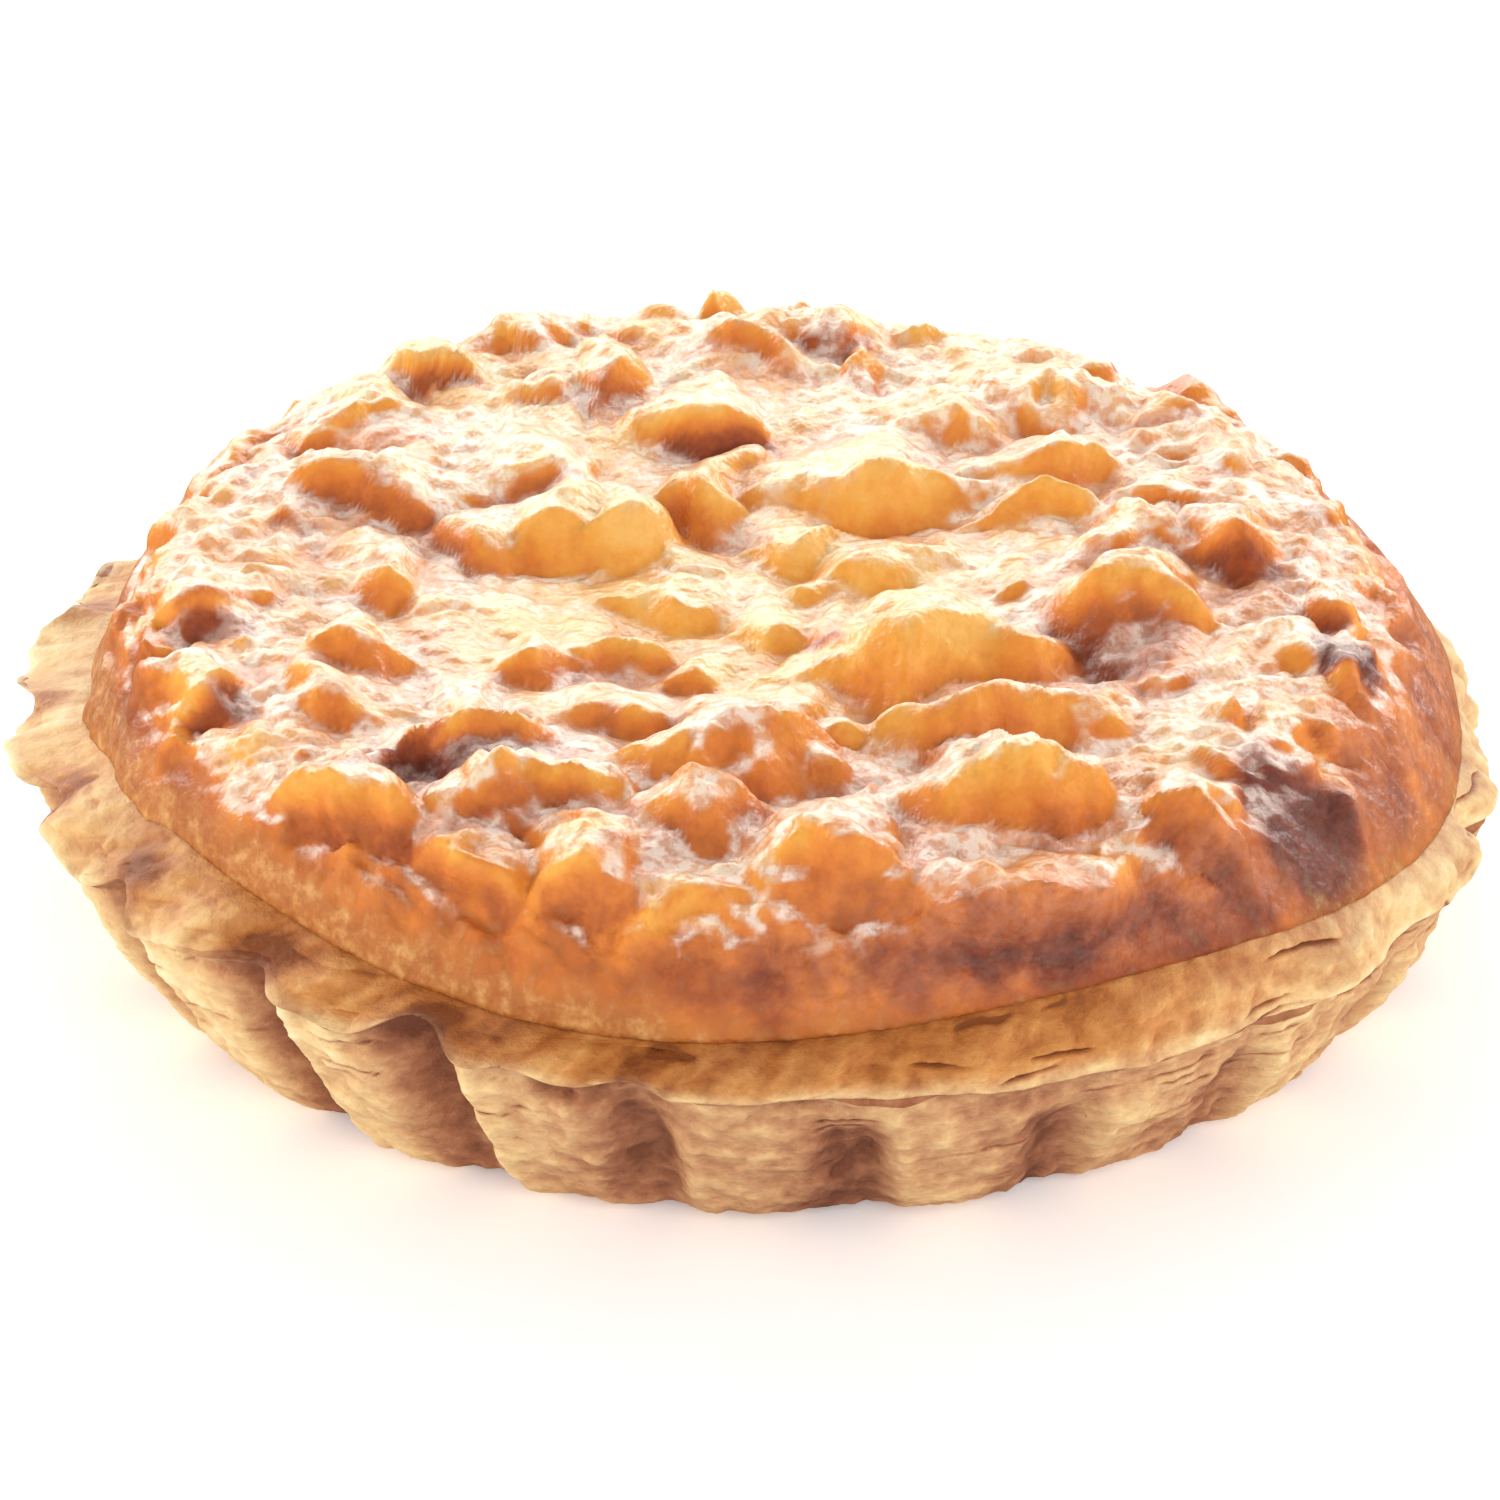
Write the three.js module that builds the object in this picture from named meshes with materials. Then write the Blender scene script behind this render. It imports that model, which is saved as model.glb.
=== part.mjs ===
// A baked rice tart of portion size: a fluted, flaky pastry shell that carries a craggy,
// browned rice filling, which rises out of it and laps over its edge.
//
// Millimetres, +Z up. The origin is on the table under the middle of the pastry,
// the front is towards -Y, and heights are measured from the table.

import * as THREE from 'three';
import { mergeGeometries, mergeVertices } from 'three/addons/utils/BufferGeometryUtils.js';

// Pastry shell
const BASE_RADIUS = 40.2;        // where the wall leaves the table
const BASE_SHIFT = 1.4;          // the base sits this far to the right of the lip's middle
const WALL_TOP_RADIUS = 48.6;    // just under the lip
const LIP_RADIUS = 49.9;         // the lip's lower edge, which overhangs the wall
const LIP_HEIGHT = 16.2;         // mean height of the lip's top, where the filling starts
const SEAM_HEIGHT = 13.1;        // mean height of the lip's lower edge
const FLOOR_THICKNESS = 3.2;
const MOUTH_RADIUS = 44.0;       // inside of the shell at the lip
const CAVITY_RADIUS = 35.8;      // inside of the shell on its floor
const FLUTES = 22;
const FLUTE_DEPTH = 2.8;         // depth of the grooves in the wall
const GROOVE_WIDTH = 2.5;        // half width of a groove
const LEDGE_DEPTH = 0.4;         // how far leaves of pastry stand out on the lip
const SHELL_STEPS = FLUTES * 8;  // columns round the shell
const WALL_ROWS = 7;
const LIP_ROWS = 6;

// Rice filling
const FILLING_SHIFT = 1.8;       // the filling sits this far to the right of the pastry's middle
const FILLING_RADIUS = 45.8;     // where it laps over the lip
const SHOULDER = 9.0;            // width of its rounded shoulder
const CROWN_HEIGHT = 25.4;       // height of the ring round its middle
const CROWN_LEAN = -1.9;         // its top leans back to the left by this much
const CENTRE_SINK = 1.7;         // its middle is this much lower than the ring round it
const LAP_GAP = 0.4;             // clearance between filling and pastry
const EDGE_LEAN = (66 / 180) * Math.PI; // slope of its side where it meets the lip
const SCATTERED_CRAGS = 110;     // small crags between the large ones
const TOP_CELLS = 56;            // cells across the top's grid

// Large crags on top, each a steep face that looks to the front with ground sloping away behind it:
// [x, y of the face's middle, half length, rise, turn in degrees], measured along the surface from the middle.
const CRAGS = [
  [-22, 26.3, 4.2, 1.8, 12],
  [-9.8, 24.5, 3.2, 2.6, 0],
  [-2.7, 19.2, 4.2, 2.4, 5],
  [6, 32.5, 3.6, 2, 0],
  [-25.5, 10.6, 7.6, 2.5, -8],
  [-19, 5, 5, 2, -40],
  [-15.3, 12.3, 4.2, 1.9, 10],
  [-13.5, 5.2, 4.8, 3, -8],
  [-8.6, 3.8, 4.2, 2.8, 12],
  [-2.5, 8.9, 4.6, 2.8, -6],
  [8.5, 10.4, 9, 3.2, 3],
  [20.5, 22.6, 7, 1.8, -5],
  [20, 12.6, 6.4, 2.2, 0],
  [19.5, 6.8, 6, 1.9, 5],
  [4.5, 5.1, 6.6, 2, 0],
  [11.5, -14.3, 10.5, 4.4, 8],
  [-25, -3, 3.6, 2, 0],
  [-25, -13.7, 3, 2.2, 8],
  [-35.5, -6.7, 4.2, 2.2, 15],
  [32.3, 1.5, 3.4, 2.4, 0],
  [24, -8.9, 5.2, 3.8, -15],
  [-17.5, -24.6, 7.2, 2.8, 9],
  [-36, -19.1, 4.6, 1.9, 25],
  [-26.5, -33, 6.5, 2.8, -14],
  [-14.5, -33, 7, 3.2, 4],
  [-1.5, -27.6, 9.5, 3.6, 5],
  [17, -21.8, 10.5, 3, 24],
  [17, -33.5, 8, 4, 10],
  [-20, -38.5, 5, 2.2, -30],
  [-10.5, -40.5, 4.6, 2.4, 14],
  [-3.5, -35.5, 5.4, 2.8, 8],
  [5.5, -41.5, 7, 3.2, 0],
  [28, -34.8, 5, 2.4, -20],
  [18, -42, 8.5, 2.8, 28],
  [29.5, 30.1, 3.5, 1.9, -45],
  [-3, 39, 1.4, 1.3, 0],
];

const TURN = Math.PI * 2;
const GOLDEN_ANGLE = Math.PI * (3 - Math.sqrt(5));

const mix = THREE.MathUtils.lerp;
const smooth = THREE.MathUtils.smoothstep;
const degrees = THREE.MathUtils.degToRad;

// A repeatable number from 0 to 1 for item k of a series.
function chance(k, series) {
  const wave = Math.sin(k * 12.9898 + series * 78.233) * 43758.5453;
  return wave - Math.floor(wave);
}

// Soft random hills from about -1 to 1: chance values on a square lattice, joined by S-curves.
// Each further octave is half as high and half as wide as the one before.
function unevenness(x, y, size, series, octaves) {
  let total = 0;
  for (let octave = 0; octave < octaves; octave++) {
    const across = x / (size * 0.5 ** octave) + 17.3 * octave;
    const along = y / (size * 0.5 ** octave) - 9.1 * octave;
    const [a, b] = [Math.floor(across), Math.floor(along)];
    const corner = (i, j) => chance((a + i) * 127.1 + (b + j) * 311.7, series + octave);
    const share = smooth(across - a, 0, 1);
    const near = mix(corner(0, 0), corner(1, 0), share);
    const far = mix(corner(0, 1), corner(1, 1), share);
    total += 0.5 ** octave * (2 * mix(near, far, smooth(along - b, 0, 1)) - 1);
  }
  return total;
}

// Pastry: shapes that run round it

// 1 on the left of the tart, fading to 0 at its front and back.
function leftPart(angle) {
  return smooth(Math.cos(angle - degrees(200)), 0.25, 0.85);
}

// 1 on the right of the tart towards the front, fading to 0 at its middle and back.
function rightPart(angle) {
  return smooth(Math.cos(angle + degrees(35)), 0.3, 0.85);
}

// 1 at the front of the tart, a little to the left, fading to 0 at its sides.
function frontPart(angle) {
  return smooth(Math.cos(angle + degrees(100)), 0.3, 0.95);
}

// Distance from the nearest groove's middle, positive to its right, and that groove's strength.
function flute(angle) {
  const bent = 0.08 * smooth(Math.cos(angle - degrees(10)), 0.5, 1);
  const wander = 0.143 + 0.015 * Math.sin(3 * angle + 1) - bent;
  const place = ((angle + Math.PI / 2 + wander) / TURN) * FLUTES;
  const nearest = Math.round(place);
  const number = ((nearest % FLUTES) + FLUTES) % FLUTES;
  return [((place - nearest) / FLUTES) * TURN * WALL_TOP_RADIUS, 0.75 + 0.4 * chance(number, 1)];
}

// 1 in the middle of a groove between flutes and 0 on the flutes: a bell curve, wider on its left.
function groove(angle, width) {
  const [away, strength] = flute(angle);
  return strength * Math.exp(-(Math.abs(away / (width * (away > 0 ? 0.75 : 1.25))) ** 2.3));
}

// Small waves of the lip's edge.
function frill(angle) {
  return 0.55 * Math.sin(33 * angle + 1.4 * Math.sin(3 * angle));
}

// Height of the lip's top: it baked higher on the left, with four slow waves.
function lipTop(angle) {
  return LIP_HEIGHT + 1.1 * Math.cos(angle - degrees(198)) + 1.4 * Math.cos(4 * angle - degrees(122));
}

// Height of the lip's lower edge: higher on the left and in the grooves, with small waves.
function lipSeam(angle) {
  const swag = mix(0.6, 1.2, leftPart(angle)) * (1 - rightPart(angle)) * groove(angle, GROOVE_WIDTH);
  const waves = frill(angle) * mix(1, 0.4, rightPart(angle));
  return SEAM_HEIGHT + 2.0 * Math.cos(angle - degrees(200)) + swag + waves;
}

// Power of the lip's section: 1 would be a straight slope, and it is rounder on the right.
function lipBulge(angle) {
  return mix(mix(1.6, 1.3, frontPart(angle)), 2.2, rightPart(angle));
}

// How far a leaf of pastry stands out at an angle, from -1 to 1. Each row of leaves has its own waves.
function leaf(angle, row) {
  const phase = TURN * chance(row, 2);
  return 0.6 * Math.sin(7 * angle + phase) + 0.4 * Math.sin(17 * angle + 3 * phase);
}

// A point of the wall, at a share of the way up it: [radius, height, shift].
function wallPoint(angle, up) {
  const right = rightPart(angle);
  const [away] = flute(angle);
  const seam = lipSeam(angle);
  const height = up * (seam - 0.5);
  const fade = mix(1 - 0.8 * smooth(height, seam - 5.2, seam - 2.2), 1, leftPart(angle));
  const depth = FLUTE_DEPTH * mix(1, 0.55, right) * mix(0.5, 1, smooth(up, 0, 0.5)) * fade;
  const dip = depth * groove(angle, GROOVE_WIDTH * mix(1.1, 0.8, up));
  const ridge = 0.45 * Math.exp(-(((away - 2.4) / 0.9) ** 2)) * fade * smooth(up, 0.05, 0.3);
  const bulge = 0.5 * (1 - groove(angle, GROOVE_WIDTH)) * Math.sin(up * Math.PI);
  const shelter = Math.exp(-(((away + 3.6) / 3.2) ** 2));
  const recess = 0.6 * mix(1.7, 0.6, right) * smooth(height, seam - 3.4, seam - 1.6) * shelter;
  const foot = 1.1 * (1 - smooth(height, 0, 1.0));
  const slope = mix(BASE_RADIUS + 0.8, WALL_TOP_RADIUS + 0.6 * right, up ** 0.8);
  return [slope + bulge + ridge - dip - recess - foot, height, BASE_SHIFT * (1 - up)];
}

// A point of the lip, from its lower edge, where over is 0, up and in to the filling, where it is 1.
function lipPoint(angle, over, row) {
  const scallop = Math.max(leftPart(angle), 0.8 * smooth(Math.cos(angle - degrees(10)), 0.6, 0.9));
  const pulledIn = mix(0.3, 1.9, scallop) * groove(angle, GROOVE_WIDTH);
  const edge = LIP_RADIUS + 0.5 * frill(angle) - pulledIn;
  const out = 1 - over ** lipBulge(angle);
  const relief = LEDGE_DEPTH * leaf(angle, row) * out;
  const radius = mix(FILLING_RADIUS + 0.1, edge, out) + relief;
  return [radius, mix(lipSeam(angle), lipTop(angle), over), FILLING_SHIFT * (1 - out)];
}

// The shell's section at an angle, from the middle of its underside round the outside to the middle
// of its floor, as [radius, height, shift to the right].
function shellSection(angle) {
  const rows = [[0, 0, BASE_SHIFT]];
  for (let k = 0; k < WALL_ROWS; k++) rows.push(wallPoint(angle, k / (WALL_ROWS - 1)));
  for (let k = 0; k < LIP_ROWS; k++) rows.push(lipPoint(angle, k / (LIP_ROWS - 1), k));
  const top = lipTop(angle);
  rows.push([MOUTH_RADIUS, top, FILLING_SHIFT]);
  rows.push([mix(MOUTH_RADIUS, CAVITY_RADIUS, 0.5), mix(top, FLOOR_THICKNESS, 0.5), FILLING_SHIFT]);
  rows.push([CAVITY_RADIUS, FLOOR_THICKNESS, FILLING_SHIFT]);
  rows.push([0, FLOOR_THICKNESS, FILLING_SHIFT]);
  return rows;
}

// A turned blank whose every column is then set to the section at its angle.
function pastryShell() {
  const section = shellSection(0).map(([radius, height]) => new THREE.Vector2(radius, height));
  const blank = new THREE.LatheGeometry(section, SHELL_STEPS);
  const place = blank.getAttribute('position');
  for (let column = 0; column <= SHELL_STEPS; column++) {
    const angle = ((column % SHELL_STEPS) / SHELL_STEPS) * TURN;
    shellSection(angle).forEach(([radius, height, shift], row) => {
      const number = column * section.length + row;
      place.setXYZ(number, radius * Math.cos(angle) + shift, radius * Math.sin(angle), height);
    });
  }
  return blank;
}

// Filling: relief of its top, measured along the surface

const RIM_LENGTH = FILLING_RADIUS - SHOULDER + (SHOULDER * Math.PI) / 2; // from the middle to the edge

// A steep face that looks to the front: [height of the mound above it, depth of the moat below it].
// The mound is highest on a crest behind the face's middle and falls nearly straight on both sides, over
// a longer way behind. The moat is deepest at the mound's foot. Both fade to the face's two ends.
function crag(x, y, [atX, atY, halfLength, rise, turn]) {
  const [c, s] = [Math.cos(degrees(turn)), Math.sin(degrees(turn))];
  const along = Math.abs(c * (x - atX) + s * (y - atY)) / halfLength;
  const aside = c * (y - atY) - s * (x - atX);
  const crest = 0.6 * rise;
  const away = aside < crest ? (crest - aside) / (2 * crest) : (aside - crest) / (4.5 + 1.8 * rise);
  const mound = Math.max(0, 1 - along ** 2 - away ** 1.15);
  const ramp = aside < -crest ? -(aside + crest) / (3 + rise) : (aside + crest) / (2 * crest);
  const moat = Math.max(0, 1 - 0.8 * along ** 2) * Math.max(0, 1 - ramp) ** 2;
  return [0.9 * rise * mound, 0.3 * rise * moat];
}

// Smaller crags spread by the golden angle, so that they cover the top evenly, lower in the middle.
function scatteredCrags() {
  return Array.from({ length: SCATTERED_CRAGS }, (_, k) => {
    const share = Math.sqrt((k + 0.5) / SCATTERED_CRAGS);
    const angle = k * GOLDEN_ANGLE + 0.5 * chance(k, 3);
    const lower = mix(0.6, 1, smooth(share, 0.35, 0.65)) * (1 - 0.4 * frontPart(angle));
    const place = [RIM_LENGTH * share * Math.cos(angle), RIM_LENGTH * share * Math.sin(angle)];
    return [...place, mix(2, 4.6, chance(k, 4)), mix(0.4, 1.3, chance(k, 6)) * lower, mix(-45, 45, chance(k, 7))];
  });
}

const ALL_CRAGS = [...CRAGS, ...scatteredCrags()];

// Round-backed pillows that meet in creases: the distance of soft random hills from their middle height.
function pillows(x, y, size, series) {
  const set = (width, number) => Math.abs(unevenness(x, y, width, number, 1));
  return set(size, series) + 0.45 * set(size / 2, series + 3);
}

// Crags and pillows together. The highest mound and the deepest moat count at each place, so that crags
// meet in creases. All are read at places pushed about by slow waves, which makes them ragged.
function crags(x, y, share) {
  const px = x + 1.5 * unevenness(x, y, 7, 20, 2);
  const py = y + 1.5 * unevenness(x, y, 7, 24, 2);
  const all = ALL_CRAGS.map((row) => crag(px, py, row));
  const raised = Math.max(...all.map(([mound]) => mound));
  const sunk = Math.max(...all.map(([, moat]) => moat));
  const low = 1 - smooth(share - 0.05 * smooth(-y, 18, 36), 0.83, 0.91);
  const strength = mix(0.5, 0.95, smooth(share, 0.35, 0.65)) * (0.35 + 0.65 * low);
  const swell = 0.6 * unevenness(x, y, 11, 34, 2) * low;
  return 1.1 * (raised - sunk) + swell + strength * (pillows(px, py, 5, 30) - 0.5);
}

// A point of the filling's skin, at a share of the way from its middle to its edge. The top is flat, dips
// in the middle and turns down along an ellipse until it leans by EDGE_LEAN at the edge.
function skinPoint(share, angle) {
  const flat = (FILLING_RADIUS - SHOULDER) / RIM_LENGTH;
  const lean = (Math.max(0, share - flat) / (1 - flat)) * EDGE_LEAN;
  const out = (SHOULDER * Math.sin(lean)) / Math.sin(EDGE_LEAN);
  const radius = share < flat ? share * RIM_LENGTH : FILLING_RADIUS - SHOULDER + out;
  const edge = lipTop(angle) + LAP_GAP + 0.3;
  const crown = CROWN_HEIGHT + 0.9 * Math.cos(angle - degrees(95));
  const ring = crown - CENTRE_SINK * (1 - smooth(share, 0, 0.65));
  const top = mix(CROWN_HEIGHT - CENTRE_SINK, ring, Math.min(1, share / 0.3));
  const drop = (Math.cos(lean) - Math.cos(EDGE_LEAN)) / (1 - Math.cos(EDGE_LEAN));
  const length = share * RIM_LENGTH;
  const ahead = 0.04 * frontPart(angle);
  const fade = (1 - 0.65 * smooth(share - ahead, 0.86, 0.95)) * (1 - smooth(share, 0.965, 1));
  const relief = crags(length * Math.cos(angle), length * Math.sin(angle), share) * fade;
  const across = radius + relief * Math.sin(lean);
  return new THREE.Vector3(
    across * Math.cos(angle) + FILLING_SHIFT + CROWN_LEAN * drop, across * Math.sin(angle),
    mix(edge, top, drop) + relief * Math.cos(lean));
}

// Carries a square's point (each side -1 to 1) to the disc: [share of the radius, angle].
function squareToDisc(a, b) {
  if (a === 0 && b === 0) return [0, 0];
  if (Math.abs(a) > Math.abs(b)) return [Math.abs(a), (Math.PI / 4) * (b / a) + (a < 0 ? Math.PI : 0)];
  return [Math.abs(b), Math.PI / 2 - (Math.PI / 4) * (a / b) + (b < 0 ? Math.PI : 0)];
}

// Points round the edge of the top's grid, anticlockwise from its corner at -X, -Y.
function edgeAngles() {
  const angles = [];
  for (let side = 0; side < 4; side++)
    for (let k = 0; k < TOP_CELLS; k++) angles.push(((side + k / TOP_CELLS) * Math.PI) / 2 - (Math.PI * 3) / 4);
  return angles;
}

// Joins rings of points into a strip; the last ring is closed by a fan round its middle.
function skirt(rings) {
  const points = [];
  const count = rings[0].length;
  for (let r = 0; r + 1 < rings.length; r++)
    for (let k = 0; k < count; k++) {
      const next = (k + 1) % count;
      const [a, b, c, d] = [rings[r][k], rings[r][next], rings[r + 1][next], rings[r + 1][k]];
      points.push(a, d, b, b, d, c);
    }
  const last = rings.at(-1);
  const middle = last.reduce((sum, point) => sum.add(point), new THREE.Vector3()).divideScalar(count);
  last.forEach((point, k) => points.push(point, middle, last[(k + 1) % count]));
  return new THREE.BufferGeometry().setFromPoints(points);
}

// The craggy top, the underside that laps over the lip, and the body that fills the shell.
function riceFilling() {
  const top = new THREE.PlaneGeometry(2, 2, TOP_CELLS, TOP_CELLS).toNonIndexed();
  const place = top.getAttribute('position');
  for (let i = 0; i < place.count; i++) {
    const point = skinPoint(...squareToDisc(place.getX(i), place.getY(i)));
    place.setXYZ(i, point.x, point.y, point.z);
  }
  top.deleteAttribute('normal');
  top.deleteAttribute('uv');
  const ring = (radius, height) => (angle) => new THREE.Vector3(
    radius * Math.cos(angle) + FILLING_SHIFT, radius * Math.sin(angle), height(angle));
  const angles = edgeAngles();
  const body = skirt([
    angles.map((angle) => skinPoint(1, angle)),
    angles.map(ring(MOUTH_RADIUS - LAP_GAP, (angle) => lipTop(angle) + LAP_GAP)),
    angles.map(ring(CAVITY_RADIUS - LAP_GAP, () => FLOOR_THICKNESS + LAP_GAP)),
  ]);
  return mergeGeometries([top, body]);
}

// A closed geometry with shared corners and its own shading normals.
function finished(geometry) {
  geometry.deleteAttribute('normal');
  geometry.deleteAttribute('uv');
  const merged = mergeVertices(geometry, 1e-3);
  merged.computeVertexNormals();
  return merged;
}

function piece(name, geometry, colour, roughness) {
  const material = new THREE.MeshStandardMaterial({ color: colour, roughness, metalness: 0 });
  const mesh = new THREE.Mesh(finished(geometry), material);
  mesh.name = name;
  return mesh;
}

const tart = new THREE.Group();
tart.add(piece('pastry_shell', pastryShell(), '#d8a868', 0.75));
tart.add(piece('rice_filling', riceFilling(), '#d98f45', 0.45));

// The origin goes under the middle of the finished tart.
const middle = new THREE.Box3().setFromObject(tart).getCenter(new THREE.Vector3());
for (const mesh of tart.children) mesh.position.set(-middle.x, -middle.y, 0);

export default tart;
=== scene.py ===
"""A baked rice tart: a fluted shell of flaky pastry under a craggy, browned rice filling.

Shapes are worked out in millimetres and put into the meshes in metres.
+Z is up and -Y is the front.
"""

import math

import bpy
import numpy as np
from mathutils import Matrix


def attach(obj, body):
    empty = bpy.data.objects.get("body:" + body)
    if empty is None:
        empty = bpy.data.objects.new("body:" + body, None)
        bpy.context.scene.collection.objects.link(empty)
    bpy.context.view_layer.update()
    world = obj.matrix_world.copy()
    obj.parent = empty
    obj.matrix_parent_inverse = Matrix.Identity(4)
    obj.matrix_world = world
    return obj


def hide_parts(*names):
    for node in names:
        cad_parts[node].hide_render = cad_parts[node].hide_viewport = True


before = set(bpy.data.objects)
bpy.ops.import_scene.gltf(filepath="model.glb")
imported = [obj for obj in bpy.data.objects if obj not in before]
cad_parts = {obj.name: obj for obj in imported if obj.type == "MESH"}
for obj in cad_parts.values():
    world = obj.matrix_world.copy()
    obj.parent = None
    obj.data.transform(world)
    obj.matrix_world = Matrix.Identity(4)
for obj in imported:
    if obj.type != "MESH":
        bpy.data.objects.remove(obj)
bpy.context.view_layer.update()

MM = 0.001
TURN = 2 * math.pi
GOLDEN_ANGLE = math.pi * (3 - math.sqrt(5))

# The tart's middle, from the middle of the pastry's lip.
MIDDLE = (-0.1459, -0.1228)

# Pastry shell
BASE_RADIUS = 40.2
BASE_SHIFT = 1.4
WALL_TOP_RADIUS = 48.6
LIP_RADIUS = 49.9
LIP_HEIGHT = 16.2
SEAM_HEIGHT = 13.1
FLOOR_THICKNESS = 3.2
MOUTH_RADIUS = 44.0
CAVITY_RADIUS = 35.8
FLUTES = 22
FLUTE_DEPTH = 2.8
GROOVE_WIDTH = 2.5
LEAF_THICKNESS = 0.8
CRACK_DEPTH = 0.6
RECESS_DEPTH = 1.7
SEAM_SINK = 0.5
UNDERSIDE_INSET = 5.0
SHELL_COLUMNS = 880
WALL_ROWS = 66
UNDER_ROWS = 7
LIP_ROWS = 34

# Rice filling
FILLING_SHIFT = 1.8
FILLING_RADIUS = 45.8
SHOULDER = 9.0
CROWN_HEIGHT = 25.4
CROWN_LEAN = -1.9
CENTRE_SINK = 1.7
LAP_GAP = 0.4
CORE_GAP = 0.1
SKIN_LIFT = 0.1
EDGE_LEAN = math.radians(66)
TOP_CELLS = 300
SCATTERED_CRAGS = 110
LEVEL_ROUNDS = 220
RIM_LENGTH = FILLING_RADIUS - SHOULDER + SHOULDER * math.pi / 2

# Crags on top, each a steep face that looks to the front with ground sloping away behind it: x and y of
# the face's middle, half length, rise, turn in degrees, and how far the face is browned and darkened as
# painted shade, since it looks away from the light behind. Lengths run along the surface from the filling's
# middle.
CRAGS = [
    (-22, 26.3, 4.2, 1.8, 12, 0.72),
    (-13.5, 24.6, 3.6, 1.2, 0, 0.45),
    (-9.8, 24.5, 3.2, 2.6, 0, 0.62),
    (-2.7, 19.2, 4.2, 2.4, 5, 0.8),
    (6, 32.5, 3.6, 2, 0, 0.66),
    (7.8, 28.4, 2.2, 1.5, 0, 0.4),
    (0, 29.4, 6, 1.4, -12, 0.36),
    (-25.5, 10.6, 7.6, 2.5, -8, 0.46),
    (-19, 5, 5, 2, -40, 0.34),
    (-15.3, 12.3, 4.2, 1.9, 10, 0.44),
    (-13.5, 5.2, 4.8, 3.0, -8, 0.10),
    (-8.6, 3.8, 4.2, 2.8, 12, 0.05),
    (-2.5, 8.9, 4.6, 2.8, -6, 0.34),
    (8.5, 10.4, 9, 3.2, 3, 0),
    (13.5, 19.7, 5, 1.7, 0, 0.12),
    (20.5, 22.6, 7, 1.8, -5, 0.16),
    (20, 12.6, 6.4, 2.2, 0, 0.14),
    (19.5, 6.8, 6, 1.9, 5, 0.1),
    (4.5, 5.1, 6.6, 2, 0, 0),
    (9, 0.7, 6.4, 1.7, 5, 0),
    (11.5, -14.3, 10.5, 4.4, 8, 0.05),
    (-25, -3, 3.6, 2, 0, 0.3),
    (-25, -13.7, 3, 2.2, 8, 0.28),
    (-35.5, -6.7, 4.2, 2.2, 15, 0.7),
    (-32.5, 7.9, 2.8, 1, -15, 0.5),
    (-13, -12.2, 3.6, 1.6, 0, 0.46),
    (-8, -10.5, 3.8, 1.6, 10, 0.38),
    (-3.7, -12.8, 3, 1.3, -10, 0.36),
    (-6, -3.1, 5, 1.5, 5, 0),
    (0.5, -6.5, 4.2, 1.3, -5, 0),
    (5.3, -7, 2, 1.1, 0, 0.7),
    (26, 1.8, 5, 1.6, 0, 0.44),
    (32.3, 1.5, 3.4, 2.4, 0, 0.74),
    (24, -8.9, 5.2, 3.8, -15, 0.64),
    (38, -5.3, 2.8, 1.5, 0, 0.66),
    (-17.5, -24.6, 7.2, 2.8, 9, 0.92),
    (-27.5, -19.9, 2.6, 1.6, 0, 0.34),
    (-36, -19.1, 4.6, 1.9, 25, 0.76),
    (-25, -28.2, 3.6, 1.6, 30, 0.54),
    (-26.5, -33.0, 6.5, 2.8, -14, 0.52),
    (-14.5, -33.0, 7.0, 3.2, 4, 0.50),
    (-1.5, -27.6, 9.5, 3.6, 5, 0.12),
    (2.5, -19, 4, 1.3, 0, 0.1),
    (-9, -19.1, 5, 1.4, 0, 0.24),
    (7, -22.7, 4.5, 1.6, 15, 0.06),
    (17, -21.8, 10.5, 3.0, 24, 0.12),
    (17, -33.5, 8, 4.0, 10, 0.20),
    (-20, -38.5, 5.0, 2.2, -30, 0.40),
    (-10.5, -40.5, 4.6, 2.4, 14, 0.46),
    (-3.5, -35.5, 5.4, 2.8, 8, 0.36),
    (5.5, -41.5, 7.0, 3.2, 0, 0.26),
    (28, -34.8, 5.0, 2.4, -20, 0.4),
    (18, -42.0, 8.5, 2.8, 28, 0.36),
    (28, 22.2, 3, 1.1, 0, 0.44),
    (32, 8.2, 3, 1.1, 0, 0.38),
    (-27, 18.8, 6, 1.6, 10, 0.3),
    (-15, 32.9, 6, 1.5, 8, 0.26),
    (29.5, 30.1, 3.5, 1.9, -45, 0.3),
    (-3, 39, 1.4, 1.3, 0, 0.3),
]

# Other places that the oven browned most: x, y, half length, half width, strength, turn in degrees.
BROWNED = [
    (-41, -9.5, 3.0, 2.2, 0.45, 20),
    (-40, -25.0, 4.0, 5.0, 0.36, 20),
    (-22.5, -24.5, 4.0, 1.2, 0.72, 6),
    (-8, -39.0, 3.0, 3.0, 0.40, 0),
    (-2, -46.5, 8.0, 3.0, 0.30, 0),
    (39.5, -11.0, 3.6, 3.4, 0.98, -30),
    (42, -20.0, 4.0, 9.0, 0.46, 10),
    (37.0, -28.5, 8.0, 6.0, 0.95, -45),
    (30, -41.0, 9.0, 3.6, 0.36, 35),
    (19.5, -45.5, 2.8, 2.0, 0.60, 10),
    (14, -44.5, 7.0, 2.6, 0.34, 12),
]


# Numbers and waves


def mix(low, high, share):
    """Straight line from low to high."""
    return low + (high - low) * share


def smooth(value, low, high):
    """0 below low, 1 above high, and an S-shaped cubic between them."""
    share = np.clip((value - low) / (high - low), 0, 1)
    return share * share * (3 - 2 * share)


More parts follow.
